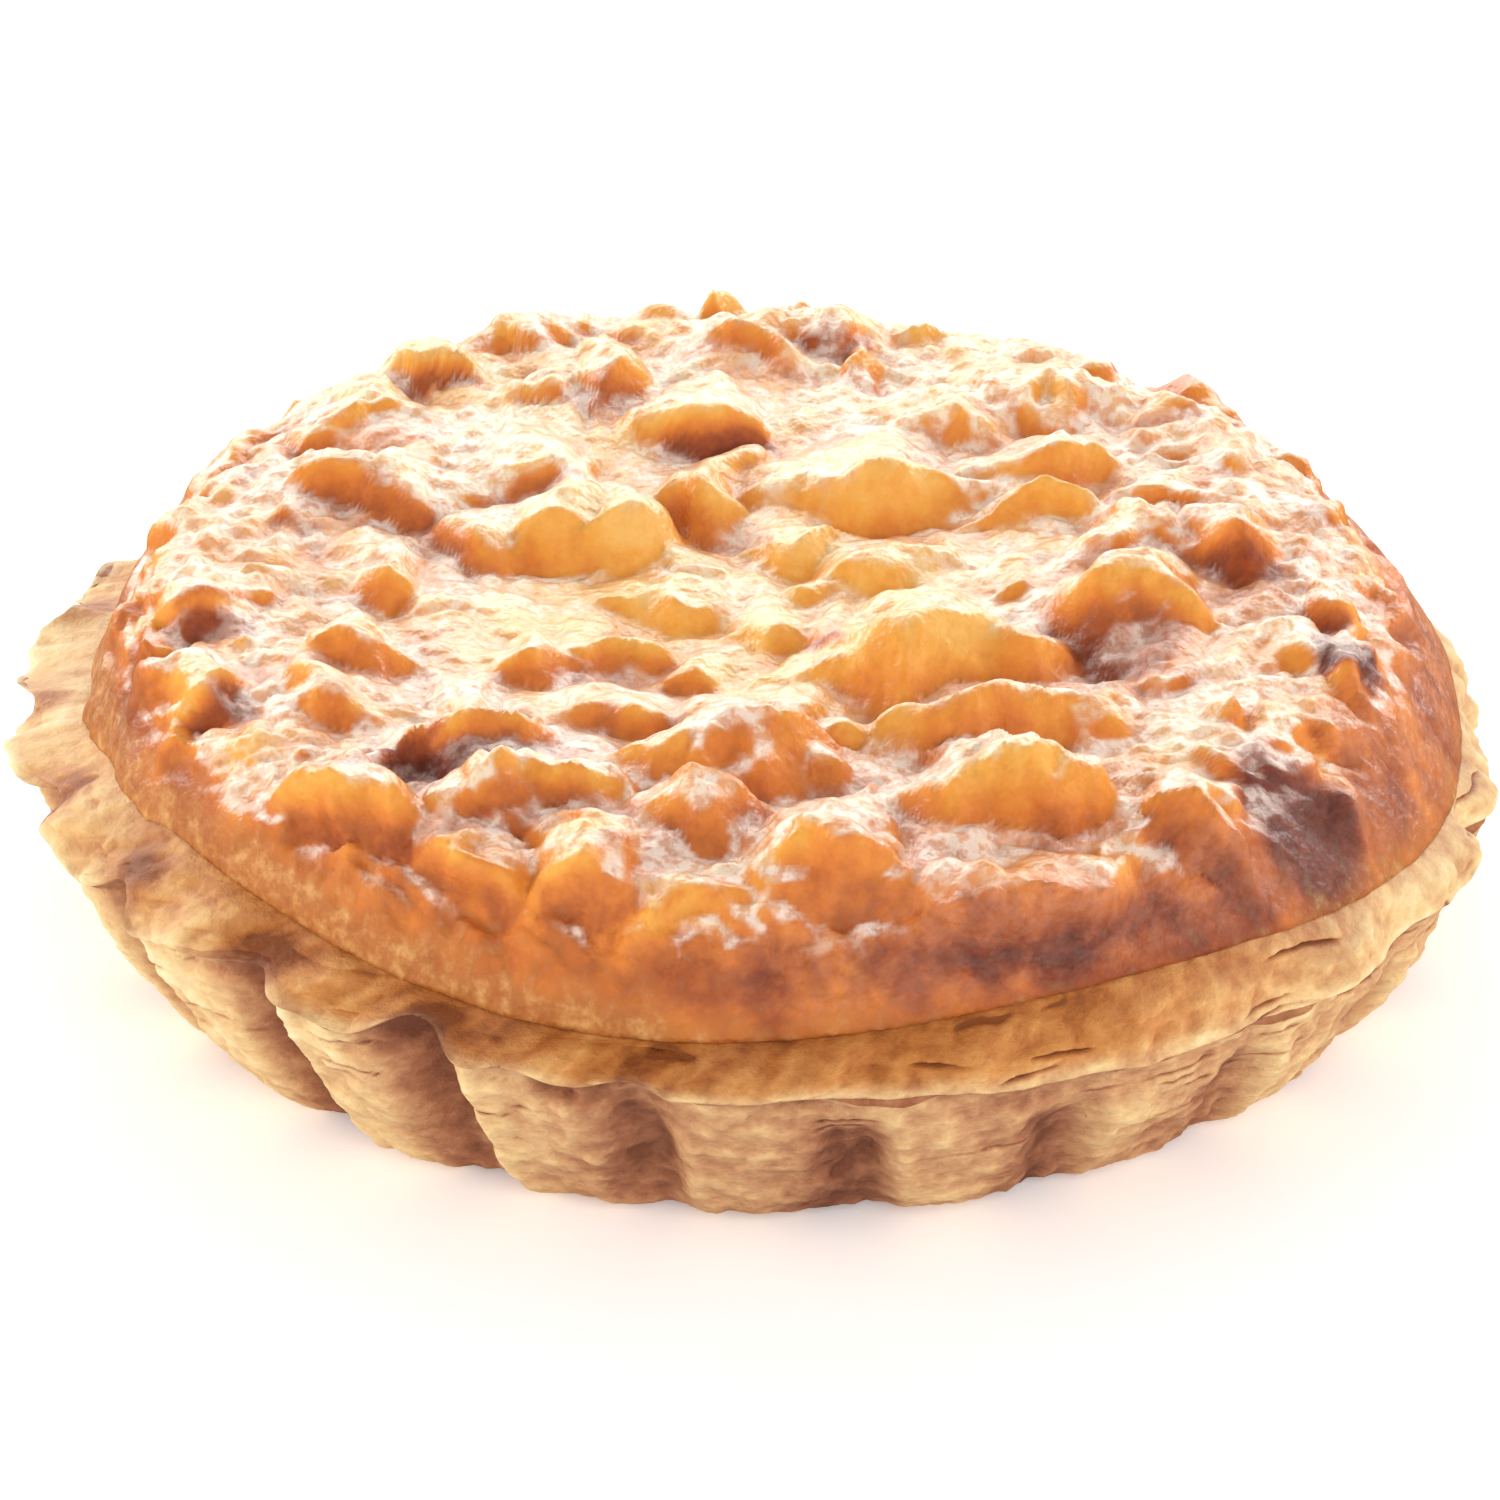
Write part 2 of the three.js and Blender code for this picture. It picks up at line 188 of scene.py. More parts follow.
def chance(k, series):
    """A repeatable number from 0 to 1 for item k of a series: the fraction of a very fast sine."""
    wave = np.sin(np.asarray(k) * 12.9898 + series * 78.233) * 43758.5453
    return wave - np.floor(wave)


def unevenness(x, y, size, series, octaves=3, cells=0):
    """Soft random hills from about -1 to 1: chance values on a square lattice, joined by S-curves.

    Each further octave is half as high and half as wide as the one before. The hills repeat along x after
    a number of cells, where one is given.
    """
    total = np.zeros(np.broadcast(x, y).shape)
    height = 1.0
    for octave in range(octaves):
        gx = x / size + 17.3 * octave
        gy = y / size - 9.1 * octave
        ix = np.floor(gx)
        iy = np.floor(gy)
        fx = smooth(gx - ix, 0, 1)
        fy = smooth(gy - iy, 0, 1)
        sides = [np.mod(ix + a, cells * 2**octave) if cells else ix + a for a in (0, 1)]
        number = series + octave
        near = [chance(side * 127.1 + iy * 311.7, number) for side in sides]
        far = [chance(side * 127.1 + (iy + 1) * 311.7, number) for side in sides]
        near = mix(near[0], near[1], fx)
        far = mix(far[0], far[1], fx)
        total += height * (2 * mix(near, far, fy) - 1)
        height *= 0.5
        size *= 0.5
    return total


def round_trip(arc, height, size, series, octaves=3):
    """Unevenness that meets itself after once round the lip; the size is trimmed to fit."""
    cells = round(TURN * LIP_RADIUS / size)
    return unevenness(arc, height, TURN * LIP_RADIUS / cells, series, octaves, cells)


def oval(x, y, at_x, at_y, half_length, half_width, turn):
    """1 in the middle of a turned oval, falling with the square of the distance to 0 at its edge."""
    c = math.cos(math.radians(turn))
    s = math.sin(math.radians(turn))
    along = (c * (x - at_x) + s * (y - at_y)) / half_length
    aside = (c * (y - at_y) - s * (x - at_x)) / half_width
    return np.clip(1 - along * along - aside * aside, 0, 1)


# Shapes that run round the pastry


def left_part(angle):
    """1 on the left of the tart, fading to 0 at its front and back."""
    return smooth(np.cos(angle - math.radians(200)), 0.25, 0.85)


def right_part(angle):
    """1 on the right of the tart, a little to the front, fading to 0 at its front and back."""
    return smooth(np.cos(angle + math.radians(35)), 0.3, 0.85)


def front_part(angle):
    """1 at the front of the tart, a little to the left, fading to 0 at its sides."""
    return smooth(np.cos(angle + math.radians(100)), 0.3, 0.95)


def right_end(angle, low, high):
    """1 at the right end of the tart as seen from the front, fading to 0 between two cosines."""
    return smooth(np.cos(angle - math.radians(10)), low, high)


def craggy_reach(angle):
    """How much further out the crags reach at the front and on the right, as a share of the way out."""
    return 0.04 * np.maximum(front_part(angle), right_part(angle))


def flute(angle):
    """Distance in mm from the nearest groove's middle, positive to its right, and that groove's strength."""
    wander = 0.143 + 0.015 * np.sin(3 * angle + 1) - 0.08 * right_end(angle, 0.5, 1.0)
    place = (angle + math.pi / 2 + wander) / TURN * FLUTES
    nearest = np.round(place)
    away = (place - nearest) / FLUTES * TURN * WALL_TOP_RADIUS
    return away, 0.75 + 0.4 * chance(nearest % FLUTES, 1)


def groove(angle, width):
    """The flutes' outline, about 1 in a groove and 0 on the lobes: a bell curve, wider on its left."""
    away, strength = flute(angle)
    return strength * np.exp(-np.abs(away / (width * np.where(away > 0, 0.75, 1.25))) ** 2.3)


def frill(angle):
    """Small waves of the lip's edge, in mm: a warped sine and random waves about 7 mm long."""
    random_waves = round_trip(angle * LIP_RADIUS, 0 * angle, 7, 60, 2)
    return 0.55 * np.sin(33 * angle + 1.4 * np.sin(3 * angle)) + 0.5 * random_waves


def lip_top(angle):
    """Height of the lip's top: a mean height, higher on the left, with four slow waves."""
    return LIP_HEIGHT + 1.1 * np.cos(angle - math.radians(198)) + 1.4 * np.cos(4 * angle - math.radians(122))


def lip_seam(angle):
    """Height of the lip's lower edge: higher on the left and in the grooves, with small waves."""
    swag = mix(0.6, 1.2, left_part(angle)) * (1 - right_part(angle)) * groove(angle, GROOVE_WIDTH)
    waves = frill(angle) * mix(1.0, 0.4, right_part(angle))
    return SEAM_HEIGHT + 2.0 * np.cos(angle - math.radians(200)) + swag + waves


def lip_edge(angle):
    """Radius of the lip's lower edge: uneven, and pulled in at the grooves, most at both sides."""
    uneven = 0.5 * frill(angle) + 0.4 * round_trip(angle * LIP_RADIUS, 0 * angle, 4.5, 74)
    scallop = np.maximum(left_part(angle), 0.8 * right_end(angle, 0.6, 0.9))
    return LIP_RADIUS + uneven - mix(0.3, 1.9, scallop) * groove(angle, GROOVE_WIDTH)


def lip_bulge(angle):
    """Power of the lip's section: 1 would be a straight slope, and it is rounder on the right."""
    return mix(mix(1.6, 1.3, front_part(angle)), 2.2, right_part(angle))


def lap(angle):
    """How far the filling's edge spreads over the lip, in uneven waves.

    It spreads less in the grooves on the left, in front and on the right.
    """
    arc = angle * LIP_RADIUS
    waves = 0.6 + 0.4 * round_trip(arc, 0 * arc, 9, 90, 2) + 0.3 * round_trip(arc, 0 * arc, 1.8, 93, 2)
    grooved = left_part(angle) * np.clip(groove(angle, GROOVE_WIDTH), 0, 1)
    bare = np.maximum(right_part(angle), front_part(angle))
    return np.clip(waves, 0.1, 1.8) * (1 - 0.8 * grooved) * (1 - 0.8 * bare)


# Meshes


def new_piece(name, points, faces, marks, material, node):
    """A smooth-shaded mesh from points in millimetres and faces, with one number per point for each mark."""
    mesh = bpy.data.meshes.new(name)
    placed = points - np.array([MIDDLE[0], MIDDLE[1], 0.0])
    mesh.from_pydata((placed * MM).tolist(), [], faces)
    mesh.polygons.foreach_set("use_smooth", np.ones(len(mesh.polygons), dtype=bool))
    for mark, values in marks.items():
        layer = mesh.attributes.new(mark, "FLOAT", "POINT")
        layer.data.foreach_set("value", np.ascontiguousarray(values, dtype=np.float32))
    mesh.materials.append(material)
    mesh.update()
    piece = bpy.data.objects.new(name, mesh)
    bpy.context.scene.collection.objects.link(piece)
    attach(piece, "root")
    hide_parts(node)
    return piece


def ring_faces(rows, columns):
    """Four-sided faces between neighbouring rings of points, closed round each ring."""
    row, column = np.meshgrid(np.arange(rows - 1), np.arange(columns), indexing="ij")
    following = (column + 1) % columns
    a = row * columns + column
    b = row * columns + following
    c = (row + 1) * columns + following
    d = (row + 1) * columns + column
    return np.stack([a, b, c, d], axis=-1).reshape(-1, 4)


def fan_faces(ring, middle, inward):
    """Triangles from a ring of point numbers to one middle point."""
    following = np.roll(ring, -1)
    centre = np.full(len(ring), middle)
    order = [following, ring, centre] if inward else [ring, following, centre]
    return np.stack(order, axis=-1)


# Rice filling


def crag(x, y, at_x, at_y, half_length, rise, turn):
    """A steep face that looks to the front: the mound above it, the moat below it, and 1 on the face itself.

    The mound is highest on a crest 0.6 times the rise behind the face's middle. From there it falls nearly
    straight to 0, over 1.2 times the rise in front and over a longer way behind, so that its crest is sharp.
    The moat is deepest in a crease at the mound's foot and comes up on both sides by a square. Both fade to
    the face's two ends.
    """
    c = math.cos(math.radians(turn))
    s = math.sin(math.radians(turn))
    along = np.abs(c * (x - at_x) + s * (y - at_y)) / half_length
    crest = 0.6 * rise
    aside = c * (y - at_y) - s * (x - at_x)
    away = np.where(aside < crest, (crest - aside) / (2 * crest), (aside - crest) / (4.5 + 1.8 * rise))
    mound = np.clip(1 - along**1.5 - away**1.05, 0, 1)
    ramp = np.where(aside < -crest, -(aside + crest) / (3.0 + rise), (aside + crest) / (2 * crest))
    moat = np.clip(1 - along**2 * 0.8, 0, 1) * np.clip(1 - ramp, 0, 1) ** 2
    face = smooth(aside, -1.5 * crest, -0.8 * crest) * (1 - smooth(aside, -0.2 * crest, 0.9 * crest))
    return rise * mound, 0.3 * rise * moat, face * (1 - smooth(along, 0.7, 1.0))


def scattered_crags():
    """Smaller crags spread evenly over the top by the golden angle, lower in the middle and in front."""
    k = np.arange(SCATTERED_CRAGS)
    share = np.sqrt((k + 0.5) / SCATTERED_CRAGS)
    angle = k * GOLDEN_ANGLE + 0.5 * chance(k, 3)
    rise = mix(0.35, 1.0, chance(k, 6)) * mix(0.6, 1.0, smooth(share, 0.35, 0.65))
    rise = rise * (1 - 0.4 * front_part(angle))
    columns = [
        RIM_LENGTH * share * np.cos(angle), RIM_LENGTH * share * np.sin(angle), mix(2.0, 4.6, chance(k, 4)),
        rise, mix(-45, 45, chance(k, 7)), mix(0.0, 0.4, chance(k, 8)) * smooth(share, 0.3, 0.7),
    ]
    return list(zip(*columns))


def pillows(x, y, size, series):
    """Round-backed pillows that meet in creases, from 0 to about 2: the distance of soft random hills from
    their middle height, in three octaves, each half as wide and 0.72 times as high as the one before.
    """
    total = np.zeros_like(x)
    for octave in range(3):
        total = total + 0.72**octave * np.abs(unevenness(x, y, size * 0.5**octave, series + 3 * octave, 1))
    return total


def crags(x, y, share):
    """Crags and pillowed skin, as millimetres along the surface's normal, and how far the faces are browned
    and darkened by painted shade.

    The highest mound and the deepest moat count at each place, so that crags meet in creases. All are read
    at places pushed about by slow waves, which makes them ragged. Pillows are higher in a ring and fade on
    the side.
    """
    px = x + 1.5 * unevenness(x, y, 7, 20, 2) + 0.9 * unevenness(x, y, 3.0, 22, 2)
    py = y + 1.5 * unevenness(x, y, 7, 24, 2) + 0.9 * unevenness(x, y, 3.0, 26, 2)
    raised = np.zeros_like(x)
    sunk = np.zeros_like(x)
    face_browning_and_shade = np.zeros_like(x)
    for at_x, at_y, half_length, rise, turn, browned in CRAGS + scattered_crags():
        mound, moat, face = crag(px, py, at_x, at_y, half_length, rise, turn)
        # Painted shade: faces that look to the front are darkened along with their browning.
        face_browning_and_shade = np.maximum(face_browning_and_shade, browned * face)
        raised = np.maximum(raised, mound)
        sunk = np.maximum(sunk, moat)
    near = np.maximum(smooth(-y, 18, 36), smooth(x, 18, 36))
    low = 1 - smooth(share - 0.05 * near, 0.83, 0.91)
    strength = mix(0.5, 0.9, smooth(share, 0.35, 0.65)) * (0.35 + 0.65 * low)
    swell = 0.6 * unevenness(x, y, 11, 34, 2) * low
    grain = mix(0.12, 0.28, smooth(share, 0.4, 0.7)) * unevenness(x, 1.3 * y, 1.8, 28, 2) * (0.4 + 0.6 * low)
    return 1.1 * (raised - sunk) + swell + strength * (pillows(0.75 * px, py, 5.0, 30) - 0.6) + grain, face_browning_and_shade


def levelled(surface, rounds):
    """A surface with its bumps spread out: each point takes the mean of itself and its four neighbours."""
    for _ in range(rounds):
        wide = np.pad(surface, 1, mode="edge")
        surface = (wide[:-2, 1:-1] + wide[2:, 1:-1] + wide[1:-1, :-2] + wide[1:-1, 2:] + surface) / 5
    return surface


def drawn_in(surface):
    """A surface where each point takes the lowest value of itself and its four neighbours."""
    wide = np.pad(surface, 1, mode="edge")
    around = [wide[:-2, 1:-1], wide[2:, 1:-1], wide[1:-1, :-2], wide[1:-1, 2:]]
    return np.minimum.reduce([surface] + around)


def square_to_disc(cells):
    """Share of the radius and angle for each point of a square grid, so that squares become rings."""
    side = np.linspace(-1, 1, cells + 1)
    a, b = np.meshgrid(side, side)
    wide = np.abs(a) > np.abs(b)
    safe_a = np.where(a == 0, 1, a)
    safe_b = np.where(b == 0, 1, b)
    angle = np.where(
        wide,
        math.pi / 4 * b / safe_a + np.where(a < 0, math.pi, 0),
        math.pi / 2 - math.pi / 4 * a / safe_b + np.where(b < 0, math.pi, 0),
    )
    return np.where(wide, np.abs(a), np.abs(b)), angle


def filling_skin(share, angle, relief):
    """Points of the filling's skin, at a share of the way from its middle to its edge.

    The top is flat, dips in the middle and turns down along an ellipse until it leans by 66 degrees at the
    edge, where its foot runs out over the lip. Relief is added along the normal of that form.
    """
    flat = (FILLING_RADIUS - SHOULDER) / RIM_LENGTH
    turned = np.clip((share - flat) / (1 - flat), 0, 1)
    lean = turned * EDGE_LEAN
    out = SHOULDER * np.sin(lean) / math.sin(EDGE_LEAN)
    radius = np.where(share < flat, share * RIM_LENGTH, FILLING_RADIUS - SHOULDER + out)
    spread = lap(angle) * smooth(turned, 0.70, 1)
    inward = np.clip(1 - lap(angle) / (lip_edge(angle) - FILLING_RADIUS - CORE_GAP), 0.1, 1)
    edge = mix(lip_seam(angle), lip_top(angle), inward ** (1 / lip_bulge(angle))) + SKIN_LIFT
    crown = CROWN_HEIGHT + 0.9 * np.cos(angle - math.radians(95))
    top = crown - CENTRE_SINK * (1 - smooth(share, 0, 0.65))
    top = mix(CROWN_HEIGHT - CENTRE_SINK, top, np.clip(share / 0.3, 0, 1))
    drop = (np.cos(lean) - math.cos(EDGE_LEAN)) / (1 - math.cos(EDGE_LEAN))
    height = mix(edge, top, drop)
    across = radius + spread + relief * np.sin(lean)
    return np.stack(
        [
            across * np.cos(angle) + FILLING_SHIFT + CROWN_LEAN * drop,
            across * np.sin(angle),
            height + relief * np.cos(lean),
        ],
        axis=-1,
    )


def facing(grid):
    """Unit normals of a grid of points, from the cross product of its two directions."""
    normal = np.cross(np.gradient(grid, axis=1), np.gradient(grid, axis=0))
    return normal / np.maximum(np.linalg.norm(normal, axis=-1, keepdims=True), 1e-9)


def rice_filling(material):
    """The craggy top, the edge that laps over the lip, and the body that fills the shell."""
    share, angle = square_to_disc(TOP_CELLS)
    x = share * RIM_LENGTH * np.cos(angle)
    y = share * RIM_LENGTH * np.sin(angle)
    relief, face_browning_and_shade = crags(x, y, share)
    relief = relief * (1 - 0.65 * smooth(share - craggy_reach(angle), 0.86, 0.95))
    relief = relief * (1 - smooth(share, 0.965, 1.0))
    skin = filling_skin(share, angle, relief)
    plain_skin = filling_skin(share, angle, 0 * relief)
    top = skin.reshape(-1, 3)

    across = TOP_CELLS + 1
    number = np.arange(across * across).reshape(across, across)
    top_faces = np.stack([number[:-1, :-1], number[:-1, 1:], number[1:, 1:], number[1:, :-1]], axis=-1)
    edge = np.concatenate([number[0, :-1], number[:-1, -1], number[-1, :0:-1], number[:0:-1, 0]])
    edge_angle = angle.reshape(-1)[edge]
    circle = np.stack([np.cos(edge_angle), np.sin(edge_angle)], axis=-1)

    def ring(radius, height):
        flat_points = radius * circle + np.array([FILLING_SHIFT, 0.0])
        return np.column_stack([flat_points, np.broadcast_to(height, len(edge))])

    mouth = ring(MOUTH_RADIUS - LAP_GAP, lip_top(edge_angle) - 0.2)
    bottom = ring(CAVITY_RADIUS - LAP_GAP, FLOOR_THICKNESS + LAP_GAP)
    middle = np.array([[FILLING_SHIFT, 0.0, FLOOR_THICKNESS + LAP_GAP]])
    points = np.concatenate([top, mouth, bottom, middle])
    count = len(edge)
    mouth_ring = len(top) + np.arange(count)
    bottom_ring = mouth_ring + count
    skirt = []
    for upper, lower in ((edge, mouth_ring), (mouth_ring, bottom_ring)):
        skirt.append(np.stack([upper, lower, np.roll(lower, -1), np.roll(upper, -1)], axis=-1))
    faces = top_faces.reshape(-1, 4).tolist() + np.concatenate(skirt).tolist()
    faces += fan_faces(bottom_ring, len(points) - 1, inward=True).tolist()

    hidden = len(points) - len(top)
    browned = browning_and_shade(x, y, share, angle, relief, face_browning_and_shade)
    # Painted sheen: near-white where the skin lies level.
    pale = painted_level_sheen(x, y, share, angle, skin, plain_skin)
    crust = dry_foot(x, y, share, angle)
    marks = {
        "browning_and_shade": np.concatenate([browned.reshape(-1), np.full(hidden, 0.6)]),
        "pale": np.concatenate([pale.reshape(-1), np.zeros(hidden)]),
        "crust": np.concatenate([crust.reshape(-1), np.ones(hidden)]),
    }
    return new_piece("baked_rice_filling", points, faces, marks, material, "rice_filling")


def painted_level_sheen(x, y, share, angle, skin, plain_skin):
    """How much near-white painted sheen the skin gets, from 0: in patches where it lies level, most towards
    the back, where the light comes from.

    Level means close to the plain form's normal and facing up. It is less in the middle and fades out on
    the side. It is drawn in from steep faces and evened out, so that its edges are clean, and the right side
    has a faint painted sheen as well.
    """
    normal = facing(skin)
    level = np.sum(normal * facing(plain_skin), axis=-1)
    # Painted sheen: level skin that faces up is painted near-white, more towards the back.
    pale = smooth(level, 0.54, 0.80) * smooth(normal[..., 2], 0.42, 0.68)
    pale = pale * (1 - smooth(share - 0.02 * front_part(angle), 0.85, 0.92))
    pale = pale * mix(1.2, 2.4, smooth(share * np.sin(angle - 0.4), -0.6, 0.6))
    pale = pale * mix(0.32, 1.0, smooth(share, 0.2, 0.6))
    patchy = smooth(unevenness(x, y, 2.5, 96, 3), -0.35, 0.25)
    pale = mix(0.5, 1.2, patchy) * smooth(levelled(drawn_in(pale), 1), 0.15, 0.75)
    # Painted sheen on the right side.
    right_sheen = 0.10 * right_part(angle) * smooth(share, 0.80, 0.90) * (1 - smooth(share, 0.96, 1.0))
    return np.maximum(pale, right_sheen)


def dry_foot(x, y, share, angle):
    """How far the skin is a dry crust, from 0 to about 0.7: near the foot, and further up on the left."""
    left = left_part(angle)
    dry = share + 0.02 * unevenness(x, y, 5, 92, 3) + 0.03 * left
    dry = dry - 0.03 * front_part(angle) - 0.05 * right_part(angle)
    return mix(0.05, 0.16, left) * smooth(dry, 0.82, 0.92) + 0.55 * smooth(dry, 0.91, 0.98)


def browning_and_shade(x, y, share, angle, relief, face_browning_and_shade):
    """How far the skin is browned, from 0, custard yellow, to 1, burnt, with painted light and shade mixed
    in.

    It grows from the middle to the edge and to the right, in patches, and at the burnt places. It is darker
    in hollows and lighter on crests as painted shade, the crags' faces that look to the front are darkened
    partly as painted shade, and the back is paler as painted light from behind.
    """
    side = smooth(share - craggy_reach(angle), 0.79, 0.91)
    base = 0.19 + 0.155 * smooth(share, 0.18, 0.58) + 0.33 * side - 0.06 * smooth(share, 0.93, 0.99)
    # Painted light: paler towards the back, where the light comes from.
    base = base - 0.13 * smooth(share * np.sin(angle), 0.2, 0.7)
    # Painted shade: darker in hollows and lighter on crests.
    hollow_shade = np.clip((levelled(relief, LEVEL_ROUNDS) - relief) / 1.5, -0.4, 1)
    base = base + 0.16 * hollow_shade
    to_right = 0.03 * np.cos(angle + math.radians(25)) * smooth(share, 0.55, 0.85)
    patches = 0.10 * unevenness(x, y, 7, 40) + 0.12 * unevenness(x, y, 2.4, 44)
    even = base + to_right + patches
    spots = face_browning_and_shade
    ragged_x = x + 0.8 * unevenness(x, y, 3.0, 46)
    ragged_y = y + 0.8 * unevenness(x, y, 3.0, 48)
    for at_x, at_y, half_length, half_width, strength, turn in BROWNED:
        spot = oval(ragged_x, ragged_y, at_x, at_y, half_length, half_width, turn)
        spots = np.maximum(spots, strength * smooth(spot, 0.0, 0.75))
    return np.clip(np.maximum(even, mix(even, 0.95, spots)), 0, 1)


# Pastry shell


def leaves(arc, height):
    """How far each leaf of pastry stands out, and how open the crack above it is.

    The height, pushed up and down by slow waves, is cut into leaves of one thickness. Each leaf has its
    own random outline, broken off in places. Cracks follow the joints and come and go along them.
    """
    wave = 0.6 * round_trip(arc, height * 0, 14, 50, 2) + 0.12 * round_trip(arc, height, 3, 52)
    place = (height + wave) / LEAF_THICKNESS
    number = np.floor(place)
    across = place - number
    whole = smooth(round_trip(arc, number * 31.7, 4.5, 54, 2), -0.3, 0.3)
    outline = whole - 0.5 + 0.5 * round_trip(arc, number * 17.1, 1.6, 57, 2)
    joint = np.round(place)
    opening = smooth(round_trip(arc, joint * 23.3, 6, 70, 2), 0.45, 0.75)
    crack = opening * np.exp(-(((place - joint) / 0.12) ** 2))
    return outline - 0.4 * (2 * across - 1) ** 6, crack


def pastry_shell(material):
    """A turned section with flutes, a rounded lip that overhangs the wall, and leaves of pastry.

    Rows run from the middle of the underside, up the wall, out along the lip's underside, up and over
    the lip, and down the inside.
    """
    angle = np.arange(SHELL_COLUMNS)[None, :] / SHELL_COLUMNS * TURN
    arc = angle * LIP_RADIUS
    top = lip_top(angle)
    left = left_part(angle)
    right = right_part(angle)
    front = front_part(angle)
    seam = lip_seam(angle)
    trough = groove(angle, GROOVE_WIDTH)
    away, strength = flute(angle)

    # Wall
    up = np.linspace(0, 1, WALL_ROWS)[:, None]
    wall_height = up * (seam - SEAM_SINK)
    fade = mix(1 - 0.8 * smooth(wall_height, seam - 5.2, seam - 2.2), 1.0, left)
    depth = FLUTE_DEPTH * mix(1, 0.55, right) * mix(0.5, 1, smooth(up, 0, 0.5)) * fade
    dip = depth * groove(angle, GROOVE_WIDTH * mix(1.1, 0.8, up))
    ridge = np.exp(-(((away - 2.4) / 0.9) ** 2)) * fade * smooth(up, 0.05, 0.3)
    bulge = 0.5 * (1 - trough) * np.sin(up * math.pi)
    wall = mix(BASE_RADIUS + 0.8, WALL_TOP_RADIUS + 0.6 * right, up**0.8)
    wall = wall - 1.1 * (1 - smooth(wall_height, 0, 1.0))
    wall_leaf, wall_crack = leaves(arc + 0 * up, wall_height)
    wall_crack = 0.6 * wall_crack * smooth(up, 0.4, 0.7)
    patchy = round_trip(arc + 0 * up, wall_height * 1.3, 5, 64)
    rough = round_trip(arc + 0 * up, wall_height, 1.2, 80, 3)
    ragged = 0.6 + 0.6 * round_trip(arc + 0 * up, wall_height * 1.8, 6, 66, 3)
    shelter = np.exp(-(((away + 3.6) / 3.2) ** 2))
    recess = mix(RECESS_DEPTH, 0.6, right) * smooth(wall_height, seam - 3.4, seam - 1.6)
    recess = recess * shelter * np.clip(ragged, 0, 1)
    crumbly = np.clip(recess / RECESS_DEPTH, 0, 1)
    wall_relief = bulge - dip + 0.45 * ridge + 0.08 * wall_leaf + 0.35 * patchy
    wall_relief = wall_relief + mix(0.24, 0.50, crumbly) * rough
    wall_relief = wall_relief - 0.5 * CRACK_DEPTH * wall_crack
    wall_radius = wall + wall_relief - recess
    wall_shift = BASE_SHIFT * (1 - up)

    # Lip
    edge = lip_edge(angle)
    core = FILLING_RADIUS + CORE_GAP + 0 * angle
    under = np.linspace(0, 1, UNDER_ROWS + 2)[1:-1, None]
    under_radius = mix(wall_radius[-1:], edge - 0.25, under)
    under_height = seam - SEAM_SINK + 0.45 * under**2
    over = np.linspace(0, 1, LIP_ROWS)[:, None]
    lip_height = mix(seam - 0.05, top, over)
    lip_leaf, lip_crack = leaves(arc + 0 * over, lip_height)
    ends = smooth(over, 0, 0.08) * (1 - smooth(over, 0.8, 1))
    flaky = round_trip(arc + 0 * over, lip_height * 1.5, 2.8, 68)
    crumb = round_trip(arc + 0 * over, lip_height, 1.1, 82, 3)
    calm = np.maximum(right, 0.4 * left)
    lip_relief = mix(0.34, 0.10, calm) * lip_leaf + mix(0.55, 0.18, calm) * flaky + 0.22 * crumb
    lip_crack = lip_crack * (1 - 0.8 * left)
    lip_relief = (lip_relief - CRACK_DEPTH * lip_crack) * ends
    out = 1 - over ** lip_bulge(angle)
    lip_radius = mix(core, edge, out) + lip_relief
    lip_height = lip_height + mix(0.4, 0.12, calm) * flaky * ends
    lip_shift = FILLING_SHIFT * (1 - out)

    def rows(radius, height, shift):
        x = radius * np.cos(angle) + shift
        return np.stack([x, radius * np.sin(angle) + 0 * x, height + 0 * x], axis=-1)

    halfway_radius = mix(MOUTH_RADIUS, CAVITY_RADIUS, 0.5)
    rings = np.concatenate([
        rows(BASE_RADIUS - UNDERSIDE_INSET + 0 * angle, 0.0, BASE_SHIFT),
        rows(wall_radius, wall_height, wall_shift),
        rows(under_radius, under_height, 0.0),
        rows(lip_radius, lip_height, lip_shift),
        rows(MOUTH_RADIUS + 0 * angle, top, FILLING_SHIFT),
        rows(halfway_radius + 0 * angle, mix(top, FLOOR_THICKNESS, 0.5), FILLING_SHIFT),
        rows(CAVITY_RADIUS + 0 * angle, FLOOR_THICKNESS, FILLING_SHIFT),
    ])
    points = np.concatenate([
        rings.reshape(-1, 3),
        [[BASE_SHIFT, 0, 0], [FILLING_SHIFT, 0, FLOOR_THICKNESS]],
    ])
    faces = ring_faces(len(rings), SHELL_COLUMNS).tolist()
    first = np.arange(SHELL_COLUMNS)
    last = (len(rings) - 1) * SHELL_COLUMNS + first
    faces += fan_faces(first, len(points) - 2, inward=True).tolist()
    faces += fan_faces(last, len(points) - 1, inward=False).tolist()

    # Tone runs from 0 in cracks and hollows to 1 on the palest leaves; gold marks the browner lip.
    # The darkening in cracks, grooves, hollows, under the lip, on each lobe's right flank and on the lip
    # next to the filling is painted shade; the lighter ridges and left side are painted light.
    shade = strength * np.exp(-(((away + 1.8) / 3.0) ** 2)) * fade
